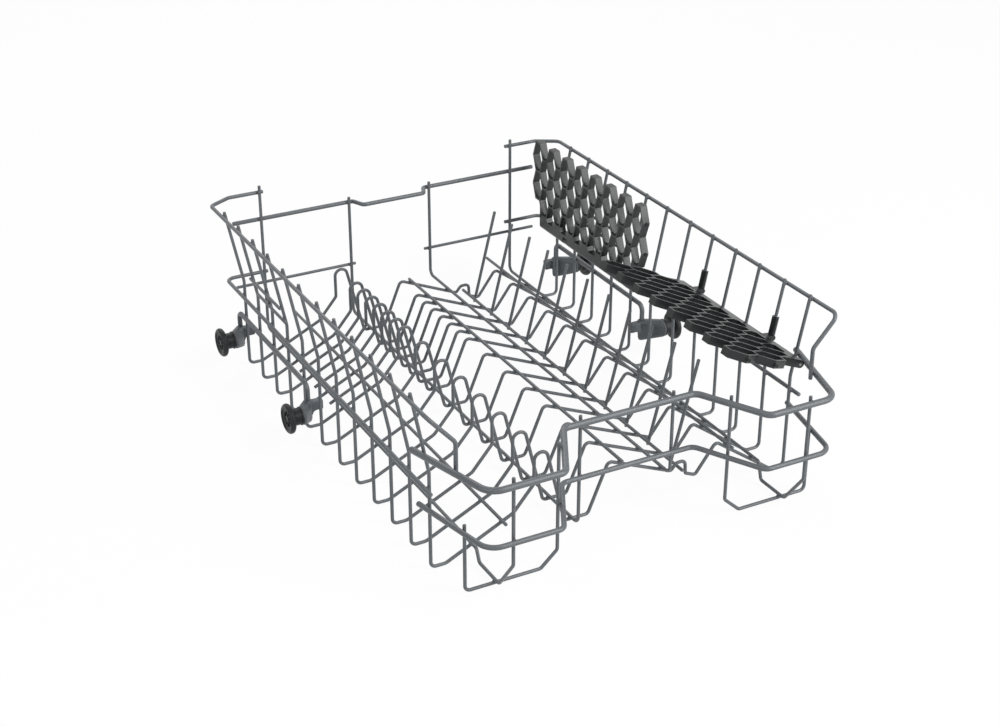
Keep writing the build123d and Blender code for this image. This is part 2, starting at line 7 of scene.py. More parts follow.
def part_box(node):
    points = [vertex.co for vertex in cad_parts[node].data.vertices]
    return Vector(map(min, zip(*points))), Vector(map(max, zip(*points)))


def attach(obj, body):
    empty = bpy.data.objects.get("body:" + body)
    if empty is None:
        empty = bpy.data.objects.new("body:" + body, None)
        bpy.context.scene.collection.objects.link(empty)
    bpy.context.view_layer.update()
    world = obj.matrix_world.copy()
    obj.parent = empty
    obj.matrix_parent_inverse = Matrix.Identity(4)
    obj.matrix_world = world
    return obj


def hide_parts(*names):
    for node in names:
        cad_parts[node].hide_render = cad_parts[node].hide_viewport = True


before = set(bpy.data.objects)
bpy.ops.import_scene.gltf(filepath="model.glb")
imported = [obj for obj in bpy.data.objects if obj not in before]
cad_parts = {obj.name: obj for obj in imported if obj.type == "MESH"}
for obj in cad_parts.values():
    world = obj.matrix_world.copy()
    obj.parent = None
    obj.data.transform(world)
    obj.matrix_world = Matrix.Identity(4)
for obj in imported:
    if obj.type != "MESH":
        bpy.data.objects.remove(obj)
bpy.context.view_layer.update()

# Sizes below are in millimetres, and MM turns them into metres where a mesh is made
MM = 0.001

# Wire diameters and welds
WIRE = 2.8
SIDE_RIM = 3.4
BACK_RAIL = 3.9
CARRIER = 4.4
UPPER_FRONT = 5.2
LOWER_FRONT = 4.2
WELD_GAP = 0.05
RUNNING_GAP = 0.3

WIRE_COUNT = 12
SHORT_COUNT = 3


def box_middle(node):
    low, high = (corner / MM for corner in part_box(node))
    return (low + high) / 2


# Places of the cross wires and of the tines between them, from the back to the front
cross_y = [box_middle(f"cross_wire_{i:02d}").y for i in range(1, WIRE_COUNT + 1)]
short_y = [box_middle(f"short_cross_wire_{i}").y for i in range(1, SHORT_COUNT + 1)]
between_y = [(a + b) / 2 for a, b in zip(cross_y, cross_y[1:])]


# Materials


def new_material(name):
    material = bpy.data.materials.new(name)
    material.use_nodes = True
    nodes = material.node_tree.nodes
    shader = nodes["Principled BSDF"]
    return material, nodes, material.node_tree.links, shader


def rgb(code):
    """Linear colour from a six-digit sRGB code."""
    parts = [int(code[i:i + 2], 16) / 255 for i in (0, 2, 4)]
    linear = [c / 12.92 if c <= 0.04045 else ((c + 0.055) / 1.055) ** 2.4 for c in parts]
    return (*linear, 1.0)


def varied_colour(nodes, links, shader, dark, light, scale):
    """Slow drift between two close sRGB colours over the surface."""
    place = nodes.new("ShaderNodeTexCoord")
    drift = nodes.new("ShaderNodeTexNoise")
    drift.inputs["Scale"].default_value = scale
    drift.inputs["Detail"].default_value = 3.0
    ramp = nodes.new("ShaderNodeValToRGB")
    ramp.color_ramp.elements[0].position = 0.3
    ramp.color_ramp.elements[0].color = rgb(dark)
    ramp.color_ramp.elements[1].position = 0.7
    ramp.color_ramp.elements[1].color = rgb(light)
    links.new(place.outputs["Object"], drift.inputs["Vector"])
    links.new(drift.outputs["Fac"], ramp.inputs["Fac"])
    links.new(ramp.outputs["Color"], shader.inputs["Base Color"])
    return place


def grain(nodes, links, shader, place, scale, depth, roughness):
    """Fine bumps, and roughness between two values that follows them."""
    noise = nodes.new("ShaderNodeTexNoise")
    noise.inputs["Scale"].default_value = scale
    noise.inputs["Detail"].default_value = 2.0
    links.new(place.outputs["Object"], noise.inputs["Vector"])
    bump = nodes.new("ShaderNodeBump")
    bump.inputs["Strength"].default_value = 1.0
    bump.inputs["Distance"].default_value = depth
    links.new(noise.outputs["Fac"], bump.inputs["Height"])
    links.new(bump.outputs["Normal"], shader.inputs["Normal"])
    spread = nodes.new("ShaderNodeMapRange")
    spread.inputs["To Min"].default_value = roughness[0]
    spread.inputs["To Max"].default_value = roughness[1]
    links.new(noise.outputs["Fac"], spread.inputs["Value"])
    links.new(spread.outputs["Result"], shader.inputs["Roughness"])


def nylon_coating():
    """Slate grey nylon, dip-coated on the wires: satin, with a faint orange peel."""
    material, nodes, links, shader = new_material("nylon_coating")
    place = varied_colour(nodes, links, shader, "53575b", "5b5f63", scale=18.0)
    grain(nodes, links, shader, place, scale=420.0, depth=0.00004, roughness=(0.34, 0.46))
    shader.inputs["Specular IOR Level"].default_value = 0.5
    return material


def moulded_plastic(name, dark, light, roughness, depth, gloss):
    """Satin plastic with a fine spark-eroded grain from its mould."""
    material, nodes, links, shader = new_material(name)
    shader.inputs["Specular IOR Level"].default_value = gloss
    place = varied_colour(nodes, links, shader, dark, light, scale=40.0)
    grain(nodes, links, shader, place, scale=2600.0, depth=depth, roughness=roughness)
    return material


def drawn_steel():
    """Bare steel of the rods that the cup shelves turn on."""
    material, nodes, links, shader = new_material("drawn_steel")
    place = varied_colour(nodes, links, shader, "9a9b9c", "adaeaf", scale=60.0)
    grain(nodes, links, shader, place, scale=1500.0, depth=0.00001, roughness=(0.25, 0.4))
    shader.inputs["Metallic"].default_value = 1.0
    return material


wire_finish = nylon_coating()
bracket_finish = moulded_plastic(
    "bracket_plastic", "484d51", "505559", roughness=(0.4, 0.55), depth=0.00002, gloss=0.45
)
roller_finish = moulded_plastic(
    "roller_plastic", "1d1f20", "26282a", roughness=(0.34, 0.46), depth=0.00002, gloss=0.22
)
shelf_finish = moulded_plastic(
    "shelf_plastic", "17191a", "1f2122", roughness=(0.28, 0.38), depth=0.00001, gloss=0.4
)
steel_finish = drawn_steel()


# Smooth wires

SIDES = 20
ARC_STEP = math.radians(7)
END_RINGS = 3
END_ROUNDING = 0.4


def route(points, radii):
    """Points along straight runs joined by tangent arcs, close together on the arcs."""
    corners = [Vector(p) for p in points]
    line = [corners[0]]
    for i, radius in enumerate(radii, start=1):
        before = (corners[i] - corners[i - 1]).normalized()
        after = (corners[i + 1] - corners[i]).normalized()
        turn = before.angle(after)
        tangent = radius * math.tan(turn / 2)
        start = corners[i] - before * tangent
        side = (after - before * before.dot(after)).normalized()
        centre = start + side * radius
        steps = max(2, math.ceil(turn / ARC_STEP))
        for k in range(steps + 1):
            angle = turn * k / steps
            line.append(centre - side * radius * math.cos(angle) + before * radius * math.sin(angle))
    line.append(corners[-1])
    return line


def tube_mesh(bm, line, radius):
    """A round tube along a line of points, cut flat at its ends with a small rounding."""
    tangents = []
    for i in range(len(line)):
        before = (line[i] - line[max(i - 1, 0)]).normalized()
        after = (line[min(i + 1, len(line) - 1)] - line[i]).normalized()
        tangents.append((before + after).normalized())
    across = tangents[0].orthogonal().normalized()
    stations = []
    for i, (point, tangent) in enumerate(zip(line, tangents)):
        if i:
            across = tangents[i - 1].rotation_difference(tangent) @ across
        across = (across - tangent * across.dot(tangent)).normalized()
        stations.append((point, tangent, across.copy(), radius))
    rounding = radius * END_ROUNDING
    caps = [math.pi / 2 * k / END_RINGS for k in range(1, END_RINGS + 1)]
    first, last = stations[0], stations[-1]
    stations[0] = (first[0] + first[1] * rounding, *first[1:])
    stations[-1] = (last[0] - last[1] * rounding, *last[1:])
    for end, way in ((first, -1), (last, 1)):
        tip = [
            (
                end[0] + end[1] * way * rounding * (math.sin(a) - 1), end[1], end[2],
                radius - rounding * (1 - math.cos(a)),
            )
            for a in caps
        ]
        stations = stations + tip if way > 0 else tip[::-1] + stations
    rings = []
    for point, tangent, across, size in stations:
        up = tangent.cross(across)
        rings.append([
            bm.verts.new((point + (across * math.cos(a) + up * math.sin(a)) * size) * MM)
            for a in (2 * math.pi * k / SIDES for k in range(SIDES))
        ])
    for low, high in zip(rings, rings[1:]):
        for k in range(SIDES):
            n = (k + 1) % SIDES
            bm.faces.new((low[k], low[n], high[n], high[k]))
    bm.faces.new(rings[0][::-1])
    bm.faces.new(rings[-1])


def add_piece(mesh, name, body, material, slot, *nodes):
    """Make a smooth-shaded piece that rides on a body and stands for CAD nodes."""
    mesh.shade_smooth()
    mesh.materials.clear()
    mesh.materials.append(material)
    piece = bpy.data.objects.new(name, mesh)
    bpy.context.scene.collection.objects.link(piece)
    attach(piece, body)
    if nodes:
        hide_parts(*nodes)
    return piece


def finish_piece(bm, name, body, material, slot, *nodes):
    """Turn a bmesh into a piece, with its faces turned outwards."""
    bmesh.ops.recalc_face_normals(bm, faces=bm.faces)
    mesh = bpy.data.meshes.new(name)
    bm.to_mesh(mesh)
    bm.free()
    return add_piece(mesh, name, body, material, slot, *nodes)


def wire(node, diameter, points, radii, body="basket"):
    bm = bmesh.new()
    tube_mesh(bm, route(points, radii), diameter / 2)
    return finish_piece(bm, f"{node}_coated", body, wire_finish, "coated_wire", node)


def wire_in_box(node, diameter, body="basket"):
    """A straight wire whose ends and middle line come from its CAD node's box."""
    low, high = (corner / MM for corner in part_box(node))
    middle = box_middle(node)
    size = high - low
    axis = max(range(3), key=lambda i: size[i])
    start, end = middle.copy(), middle.copy()
    start[axis], end[axis] = low[axis], high[axis]
    return wire(node, diameter, [start, end], [], body)


# Shape of the cross wires

TIP_Z = 153.3
KINK_Z = 84.3
WALL_X = 161.5
WALL_TOP_X = 175.2
FLOOR_Z = WIRE / 2
LEFT_FLOOR = [(-149.0, FLOOR_Z), (-91.5, 28.7), (-73.7, 49.5)]
HOOP_RADIUS = 6.0
HOOP_TOP_Z = 75.8
TROUGH = [(-46.5, 8.9), (-25.5, 8.9)]
PEAK = (-8.0, 51.2)
RIGHT_FLOOR = [(74.0, 16.4), (92.5, 41.5), (148.4, FLOOR_Z)]
SHORT_ENDS = (-133.0, 5.0)
TINE_RAIL_X = 59.5
ARCH_LEFT_X = 50.5
ARCH_RIGHT_X = 64.5
ARCH_WIDTH = 8.4
ARCH_TOP_Z = 32.4
KINK_BEND = 14.0
CORNER_BEND = 4.5
RAMP_BEND = 8.0
TIGHT_BEND = 4.0
PEAK_BEND = 4.0
VALLEY_BEND = 3.0
ARCH_SHOULDER_BEND = 2.5
ARCH_FOOT_BEND = 1.5

slope = (RIGHT_FLOOR[0][1] - PEAK[1]) / (RIGHT_FLOOR[0][0] - PEAK[0])
hoop_centre_x = LEFT_FLOOR[2][0] + HOOP_RADIUS
hoop_run = TROUGH[0][0] - hoop_centre_x
hoop_rise = HOOP_TOP_Z - HOOP_RADIUS - TROUGH[0][1]
hoop_lean = math.atan2(hoop_run, hoop_rise) - math.asin(HOOP_RADIUS / math.hypot(hoop_run, hoop_rise))
hoop_apex = (LEFT_FLOOR[2][0], TROUGH[0][1] + (TROUGH[0][0] - LEFT_FLOOR[2][0]) / math.tan(hoop_lean))
wall = [(WALL_TOP_X, TIP_Z), (WALL_X, KINK_Z), (WALL_X, FLOOR_Z)]
middle_floor = [hoop_apex, *TROUGH, PEAK]
middle_radii = [HOOP_RADIUS, TIGHT_BEND, TIGHT_BEND, PEAK_BEND]


def on_slope(x):
    return PEAK[1] + slope * (x - PEAK[0])


arch = [
    (ARCH_LEFT_X, on_slope(ARCH_LEFT_X)),
    (TINE_RAIL_X - ARCH_WIDTH / 2, ARCH_TOP_Z),
    (TINE_RAIL_X + ARCH_WIDTH / 2, ARCH_TOP_Z),
    (ARCH_RIGHT_X, on_slope(ARCH_RIGHT_X)),
]


def on_floor(x, diameter, gap=WELD_GAP):
    """Height of a lengthwise rail that lies on the cross wires at x."""
    runs = LEFT_FLOOR[:2] + middle_floor[1:] + RIGHT_FLOOR
    for start, end in zip(runs, runs[1:]):
        if start[0] <= x < end[0]:
            rise = (end[1] - start[1]) / (end[0] - start[0])
            lift = ((WIRE + diameter) / 2 + gap) * math.hypot(1, rise)
            return start[1] + rise * (x - start[0]) + lift
    raise ValueError(f"no floor run under x = {x}")


for number, y in enumerate(cross_y, start=1):
    over_rail = arch if number in (1, WIRE_COUNT) else []
    profile = [(-x, z) for x, z in wall] + LEFT_FLOOR + middle_floor + over_rail + RIGHT_FLOOR
    profile += wall[::-1]
    radii = [KINK_BEND, CORNER_BEND, RAMP_BEND, RAMP_BEND, TIGHT_BEND] + middle_radii
    radii += [ARCH_SHOULDER_BEND, TIGHT_BEND, TIGHT_BEND, ARCH_FOOT_BEND] if over_rail else []
    radii += [VALLEY_BEND, PEAK_BEND, RAMP_BEND, CORNER_BEND, KINK_BEND]
    wire(f"cross_wire_{number:02d}", WIRE, [(x, y, z) for x, z in profile], radii)

ramp_rise = (LEFT_FLOOR[1][1] - LEFT_FLOOR[0][1]) / (LEFT_FLOOR[1][0] - LEFT_FLOOR[0][0])
short_start = (SHORT_ENDS[0], FLOOR_Z + ramp_rise * (SHORT_ENDS[0] - LEFT_FLOOR[0][0]))
short_end = (SHORT_ENDS[1], on_slope(SHORT_ENDS[1]))
for number, y in enumerate(short_y, start=1):
    profile = [short_start] + LEFT_FLOOR[1:] + middle_floor + [short_end]
    radii = [RAMP_BEND, TIGHT_BEND] + middle_radii
    wire(f"short_cross_wire_{number}", WIRE, [(x, y, z) for x, z in profile], radii)

# Lengthwise rails

FOOT_RAIL_X = 128.4
FOOT_DROP_Y = -183.3
FOOT_DROP = 4.6
FOOT_FRONT_Y = -219.3
FOOT_RISE_Z = 33.2
FLOOR_RAIL_X = {"left": -41.5, "right": 41.0}
RAIL_BEND = 6.0
SMALL_BEND = 3.0
foot_z = FLOOR_Z + WIRE + WELD_GAP


def beside(first, second):
    return (first + second) / 2 + WELD_GAP


def ends_of(node):
    """Rear and front middle line and highest middle line of a rail with posts, from its box."""
    low, high = (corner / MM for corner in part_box(node))
    return high.y - WIRE / 2, low.y + WIRE / 2, high.z


rear_post_y, front_post_y, rear_post_z = ends_of("foot_rail_left")
_, middle_front_y, middle_rear_z = ends_of("floor_rail_left")
front_post_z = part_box("foot_loop_left")[1].z / MM
for side, name in ((-1, "left"), (1, "right")):
    x = side * FOOT_RAIL_X
    z = on_floor(x, WIRE)
    points = [
        (x, rear_post_y, rear_post_z),
        (x, rear_post_y, z),
        (x, FOOT_DROP_Y, z),
        (x, FOOT_DROP_Y - FOOT_DROP, foot_z),
        (x, FOOT_FRONT_Y, foot_z),
        (x, front_post_y, FOOT_RISE_Z),
        (x, front_post_y, front_post_z),
    ]
    wire(f"foot_rail_{name}", WIRE, points, [RAIL_BEND, SMALL_BEND, SMALL_BEND, RAIL_BEND, RAIL_BEND])
    wire_in_box(f"inner_rail_{name}", WIRE)
    x = FLOOR_RAIL_X[name]
    z = on_floor(x, WIRE)
    points = [
        (x, rear_post_y, middle_rear_z),
        (x, rear_post_y, z),
        (x, middle_front_y, z),
        (x, middle_front_y, front_post_z),
    ]
    wire(f"floor_rail_{name}", WIRE, points, [RAIL_BEND, RAIL_BEND])
    wire_in_box(f"back_wire_{name}", WIRE)
wire_in_box("centre_rail", WIRE)

# Front rims and loops

UPPER_FRONT_Z = 102.0
LOWER_FRONT_Z = 54.6
UPPER_SIDE_ANGLE = 15.5
LOWER_SIDE_ANGLE = 11.9
RECESS_ANGLE = 28.0
RIM_SIDE_END_Y = -163.9
LOOP_Y = -212.6
LOOP_INNER_X = 75.5
LOOP_CHAMFER = 14.1
LOOP_CHAMFER_Z = 14.2
LOOP_OUTER_Z = 59.2
FRONT_CORNER_BEND = 14.0
RECESS_BEND = 8.0
lean = math.atan2(WALL_TOP_X - WALL_X, TIP_Z - KINK_Z)


def wall_at(z):
    return WALL_X + max(0.0, z - KINK_Z) * math.tan(lean)


def outside_wall(z, diameter):
    return wall_at(z) + beside(WIRE, diameter) / math.cos(lean if z > KINK_Z else 0)


def front_rim_side_x(y, z, diameter, angle):
    slant = math.radians(angle)
    touch_x = wall_at(z) + beside(WIRE, diameter) / math.cos(slant)
    return touch_x - (cross_y[-1] - y) * math.tan(slant)


def recess_side_x(y, diameter):
    slant = math.radians(RECESS_ANGLE)
    return LOOP_INNER_X - beside(WIRE, diameter) / math.cos(slant) - (y - LOOP_Y) * math.tan(slant)


def front_rim(node, z, diameter, angle):
    front_y = front_post_y - beside(WIRE, diameter)
    recess_y = middle_front_y - beside(WIRE, diameter)
    right_half = [
        (recess_side_x(recess_y, diameter), recess_y, z),
        (recess_side_x(front_y, diameter), front_y, z),
        (front_rim_side_x(front_y, z, diameter, angle), front_y, z),
        (front_rim_side_x(RIM_SIDE_END_Y, z, diameter, angle), RIM_SIDE_END_Y, z),
    ]
    left_half = [(-x, y, z) for x, y, z in right_half[::-1]]
    radii = [FRONT_CORNER_BEND, RECESS_BEND, RECESS_BEND]
    wire(node, diameter, left_half + right_half, radii + radii[::-1])


front_rim("front_rim_upper", UPPER_FRONT_Z, UPPER_FRONT, UPPER_SIDE_ANGLE)
front_rim("front_rim_lower", LOWER_FRONT_Z, LOWER_FRONT, LOWER_SIDE_ANGLE)

# Side rims, side rails, loops, clip rails and carriers

RIM_Z = 149.1
RIM_FRONT_Y = -205.3
RIM_REAR_Y = 234.2
RIM_CHAMFER_X = 157.0
RIM_DROP_Z = 124.5
RIM_END_Z = 97.7
RETURN_END_X = 124.0
SIDE_RAIL_FRONT_Y = -182.3
SIDE_RAIL_Z = 70.6
RIM_BEND = 7.0
SIDE_RAIL_BEND = 8.0
CARRIER_BEND = 6.0
CARRIER_Z = 50.6
rim_y = rear_post_y + beside(WIRE, SIDE_RIM)
rim_x = outside_wall(RIM_Z, SIDE_RIM)
upper_side_x = front_rim_side_x(RIM_FRONT_Y, UPPER_FRONT_Z, UPPER_FRONT, UPPER_SIDE_ANGLE)
rim_foot_x = upper_side_x - beside(UPPER_FRONT, SIDE_RIM) / math.cos(math.radians(UPPER_SIDE_ANGLE))
lower_side_x = front_rim_side_x(LOOP_Y, LOWER_FRONT_Z, LOWER_FRONT, LOWER_SIDE_ANGLE)
loop_outer_x = lower_side_x - beside(LOWER_FRONT, WIRE) / math.cos(math.radians(LOWER_SIDE_ANGLE))


def two_straight_wires(node):
    """Two parallel wires in one node, split at the middle of their heights."""
    vertices = [v.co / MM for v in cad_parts[node].data.vertices]
    heights = [v.z for v in vertices]
    split = (min(heights) + max(heights)) / 2
    bm = bmesh.new()
    for half in ([v for v in vertices if v.z < split], [v for v in vertices if v.z >= split]):
        low = Vector(min(v[i] for v in half) for i in range(3))
        high = Vector(max(v[i] for v in half) for i in range(3))
        middle = (low + high) / 2
        ends = [Vector((middle.x, y, middle.z)) for y in (low.y, high.y)]
        tube_mesh(bm, ends, WIRE / 2)
    finish_piece(bm, f"{node}_coated", "basket", wire_finish, "coated_wire", node)


for side, name in ((-1, "left"), (1, "right")):
    points = [
        (side * RETURN_END_X, rim_y, RIM_Z),
        (side * RIM_CHAMFER_X, rim_y, RIM_Z),
        (side * rim_x, RIM_REAR_Y, RIM_Z),
        (side * rim_x, RIM_FRONT_Y, RIM_Z),
        (side * rim_foot_x, RIM_FRONT_Y, RIM_DROP_Z),
        (side * rim_foot_x, RIM_FRONT_Y, RIM_END_Z),
    ]
    wire(f"side_rim_{name}", SIDE_RIM, points, [RIM_BEND, RIM_BEND, RIM_BEND, RIM_BEND])
    x = side * outside_wall(SIDE_RAIL_Z, SIDE_RIM)
    points = [
        (x, SIDE_RAIL_FRONT_Y, SIDE_RAIL_Z),
        (x, rim_y, SIDE_RAIL_Z),
        (side * RETURN_END_X, rim_y, SIDE_RAIL_Z),
    ]
    wire(f"side_rail_{name}", SIDE_RIM, points, [SIDE_RAIL_BEND])
    points = [
        (side * loop_outer_x, LOOP_Y, LOOP_OUTER_Z),
        (side * loop_outer_x, LOOP_Y, FLOOR_Z),
        (side * (LOOP_INNER_X + LOOP_CHAMFER), LOOP_Y, FLOOR_Z),
        (side * LOOP_INNER_X, LOOP_Y, LOOP_CHAMFER_Z),
        (side * LOOP_INNER_X, LOOP_Y, front_post_z),
    ]
    wire(f"foot_loop_{name}", WIRE, points, [CORNER_BEND, TIGHT_BEND, TIGHT_BEND])
    two_straight_wires(f"clip_rails_{name}")
    low, high = (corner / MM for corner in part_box(f"roller_carrier_{name}"))
    x = (low.x + high.x) / 2
    rear_y, front_y = high.y - CARRIER / 2, low.y + CARRIER / 2
    points = [(x, rear_y, low.z), (x, rear_y, CARRIER_Z), (x, front_y, CARRIER_Z), (x, front_y, low.z)]
    wire(f"roller_carrier_{name}", CARRIER, points, [CARRIER_BEND, CARRIER_BEND])

# Back rail

BACK_RAIL_Z = 123.0
BACK_RECESS = [(31.0, -13.0), (36.5, 0.0), (154.8, 0.0)]
BACK_BEND = 4.0
back_y = rear_post_y + beside(WIRE, BACK_RAIL)
right_half = [(x, back_y + depth, BACK_RAIL_Z) for x, depth in BACK_RECESS]
left_half = [(-x, y, z) for x, y, z in right_half[::-1]]
wire("back_rail", BACK_RAIL, left_half + right_half, [BACK_BEND] * (2 * len(right_half) - 2))

# Tine row

TINE_LEAN = math.radians(14.0)
TINE_FOOT = 4.0
TINE_LENGTH = 87.5
wire_in_box("tine_rail", WIRE, "tine_row")
tine_rail_z = on_floor(TINE_RAIL_X, WIRE, RUNNING_GAP)
up_tine = Vector((math.sin(TINE_LEAN), 0, math.cos(TINE_LEAN)))
across_tine = Vector((math.cos(TINE_LEAN), 0, -math.sin(TINE_LEAN)))
bm = bmesh.new()
for y in between_y:
    weld = Vector((TINE_RAIL_X, y, tine_rail_z)) + across_tine * beside(WIRE, WIRE)
    tube_mesh(bm, [weld - up_tine * TINE_FOOT, weld + up_tine * TINE_LENGTH], WIRE / 2)
finish_piece(bm, "tines_coated", "tine_row", wire_finish, "coated_wire", "tines")


# Coating drawn into the corners where wires are welded

BEAD_WIDTH = 2.0
BEAD_HEIGHT = 0.8
BEAD_RINGS = 6
BEAD_SIDES = 12


def floor_normal(x):
    runs = LEFT_FLOOR[:2] + middle_floor[1:] + RIGHT_FLOOR
    for start, end in zip(runs, runs[1:]):
        if start[0] <= x < end[0]:
            return Vector((start[1] - end[1], 0, end[0] - start[0])).normalized()
    raise ValueError(f"no floor run under x = {x}")


def bead(bm, middle, normal, diameter):
    """Lens of coating where a wire of this diameter touches the next one, down its normal."""
    normal = Vector(normal).normalized()
    centre = Vector(middle) - normal * (diameter + WELD_GAP) / 2
    turn = normal.to_track_quat("Z", "X").to_matrix().to_4x4()
    size = Matrix.Diagonal((BEAD_WIDTH * MM, BEAD_WIDTH * MM, BEAD_HEIGHT * MM, 1))
    bmesh.ops.create_uvsphere(
        bm, u_segments=BEAD_SIDES, v_segments=BEAD_RINGS, radius=1,
        matrix=Matrix.Translation(centre * MM) @ turn @ size,
    )


wall_out = Vector((math.cos(lean), 0, -math.sin(lean)))
bm = bmesh.new()
floor_lines = [-FOOT_RAIL_X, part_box("inner_rail_left")[0].x / MM + WIRE / 2, FLOOR_RAIL_X["left"]]
floor_lines += [box_middle("centre_rail").x, FLOOR_RAIL_X["right"]]
floor_lines += [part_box("inner_rail_right")[0].x / MM + WIRE / 2, FOOT_RAIL_X]
back_wire_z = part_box("back_wire_left")[0].z / MM + WIRE / 2
short_lines = floor_lines[1:4]
for y in cross_y:
    for x in floor_lines:
        bead(bm, (x, y, on_floor(x, WIRE)), floor_normal(x), WIRE)
    for side in (-1, 1):
        bead(bm, (side * rim_x, y, RIM_Z), (side * wall_out.x, 0, wall_out.z), SIDE_RIM)
        side_rail_x = side * outside_wall(SIDE_RAIL_Z, SIDE_RIM)
        bead(bm, (side_rail_x, y, SIDE_RAIL_Z), (side, 0, 0), SIDE_RIM)
for y in short_y:
    for x in short_lines:
        bead(bm, (x, y, on_floor(x, WIRE)), floor_normal(x), WIRE)
for side in (-1, 1):
    for z, diameter in ((RIM_Z, SIDE_RIM), (SIDE_RAIL_Z, SIDE_RIM), (BACK_RAIL_Z, BACK_RAIL)):
        bead(bm, (side * FOOT_RAIL_X, rear_post_y + beside(WIRE, diameter), z), (0, 1, 0), diameter)
    floor_post_x = FLOOR_RAIL_X["left" if side < 0 else "right"]
    bead(bm, (floor_post_x, back_y, BACK_RAIL_Z), (0, 1, 0), BACK_RAIL)
    for x in (side * FOOT_RAIL_X, floor_post_x):
        bead(bm, (x, rear_post_y + beside(WIRE, WIRE), back_wire_z), (0, 1, 0), WIRE)
    for z, diameter in ((UPPER_FRONT_Z, UPPER_FRONT), (LOWER_FRONT_Z, LOWER_FRONT)):
        bead(bm, (side * FOOT_RAIL_X, front_post_y - beside(WIRE, diameter), z), (0, -1, 0), diameter)
        bead(bm, (floor_post_x, middle_front_y - beside(WIRE, diameter), z), (0, -1, 0), diameter)
    bead(bm, (side * FOOT_RAIL_X, LOOP_Y, foot_z), (0, 0, 1), WIRE)
finish_piece(bm, "weld_coating", "basket", wire_finish, "coated_wire")
bm = bmesh.new()
for y in between_y:
    weld = Vector((TINE_RAIL_X, y, tine_rail_z)) + across_tine * beside(WIRE, WIRE)
    bead(bm, weld, across_tine, WIRE)
finish_piece(bm, "tine_weld_coating", "tine_row", wire_finish, "coated_wire")


# Moulded pieces

SHARP_ANGLE = math.radians(35)
SHARP_SOLID_ANGLE = math.radians(40)
FLAT_ANGLE = math.radians(1)
MERGE_DISTANCE = 0.002
SHELF_EDGE = 0.3
CLIP_EDGE = 0.25
ROLLER_EDGE = 0.15


def round_edges(piece, edge, segments, angle):
    rounding = piece.modifiers.new("rounded_edges", "BEVEL")
    rounding.width = edge * MM
    rounding.segments = segments
    rounding.limit_method = "ANGLE"
    rounding.angle_limit = angle


def keep_faces_flat(piece):
    flat_faces = piece.modifiers.new("flat_faces", "WEIGHTED_NORMAL")
    flat_faces.keep_sharp = True


def moulded_copy(node, body, material, slot, edge):
    """A copy of a CAD node's mesh, with its flat facets joined and its edges rounded."""
    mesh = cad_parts[node].data.copy()
    bm = bmesh.new()
    bm.from_mesh(mesh)
    bmesh.ops.remove_doubles(bm, verts=bm.verts, dist=MERGE_DISTANCE * MM)
    bmesh.ops.dissolve_limit(bm, angle_limit=FLAT_ANGLE, verts=bm.verts, edges=bm.edges)
    bm.to_mesh(mesh)
    bm.free()
    piece = add_piece(mesh, f"{node}_moulded", body, material, slot, node)
    round_edges(piece, edge, segments=2, angle=SHARP_ANGLE)
    keep_faces_flat(piece)


# Rollers: drum with a small lip, thick round-edged flange, dished face, recess with spokes and hub

ROLLER_HALF_WIDTH = 191.5
WHEEL_Z = 32.0
WHEEL_OFFSET = 15.5
WHEEL_SIDES = 56
RIM_STEPS = 8
FLANGE_RADIUS = 13.0
FLANGE_THICKNESS = 5.2
RIM_CREST = 10.7
DRUM_RADIUS = 7.2
DRUM_END = 13.6
DRUM_LIP = 0.8
DRUM_LIP_WIDTH = 1.2
DRUM_FILLET = 0.4
BORE_RADIUS = 2.6
BORE_END = 5.6
RECESS_RADIUS = 6.7
RECESS_DEPTH = 3.2
RECESS_DRAFT = 0.4
DISH_DEPTH = 1.3
DISH_EDGE = 9.1
DISH_SLOPE = 0.6
DISH_SAG = 0.1
HUB_RADIUS = 2.9
HUB_DRAFT = 0.2
SMALL_CHAMFER = 0.3
MEDIUM_CHAMFER = 0.5
SPOKES = 8
SPOKE_SIZE = (2.0, 3.6, 0.9)
SPOKE_RADIUS = 4.9
SPOKE_DEPTH = 2.7


def wheel_profile():
    """Distance from the outer face and radius, from the bore round the outside to the hub."""
    lip_radius = DRUM_RADIUS + DRUM_LIP
    points = [(BORE_END, 0.0), (BORE_END, BORE_RADIUS), (DRUM_END, BORE_RADIUS)]
    points += [(DRUM_END, lip_radius - SMALL_CHAMFER), (DRUM_END - MEDIUM_CHAMFER, lip_radius)]
    points += [(DRUM_END - DRUM_LIP_WIDTH, lip_radius)]
    points += [(DRUM_END - DRUM_LIP_WIDTH - MEDIUM_CHAMFER, DRUM_RADIUS)]
    points += [(FLANGE_THICKNESS + DRUM_FILLET, DRUM_RADIUS), (FLANGE_THICKNESS, DRUM_RADIUS + DRUM_FILLET)]
    half = FLANGE_THICKNESS / 2
    crown = FLANGE_RADIUS - RIM_CREST
    for k in range(RIM_STEPS + 1):
        angle = math.pi * k / RIM_STEPS
        points.append((half + half * math.cos(angle), RIM_CREST + crown * math.sin(angle)))
    points += [(MEDIUM_CHAMFER, DISH_EDGE + DISH_SLOPE), (DISH_DEPTH - DISH_SAG, DISH_EDGE)]
    points += [(DISH_DEPTH, RECESS_RADIUS + SMALL_CHAMFER), (DISH_DEPTH + SMALL_CHAMFER, RECESS_RADIUS)]
    points += [(RECESS_DEPTH, RECESS_RADIUS - RECESS_DRAFT), (RECESS_DEPTH, HUB_RADIUS + HUB_DRAFT)]
    points += [(DISH_DEPTH + HUB_DRAFT, HUB_RADIUS), (DISH_DEPTH, HUB_RADIUS - SMALL_CHAMFER)]
    points += [(DISH_DEPTH, 0.0)]
    return points


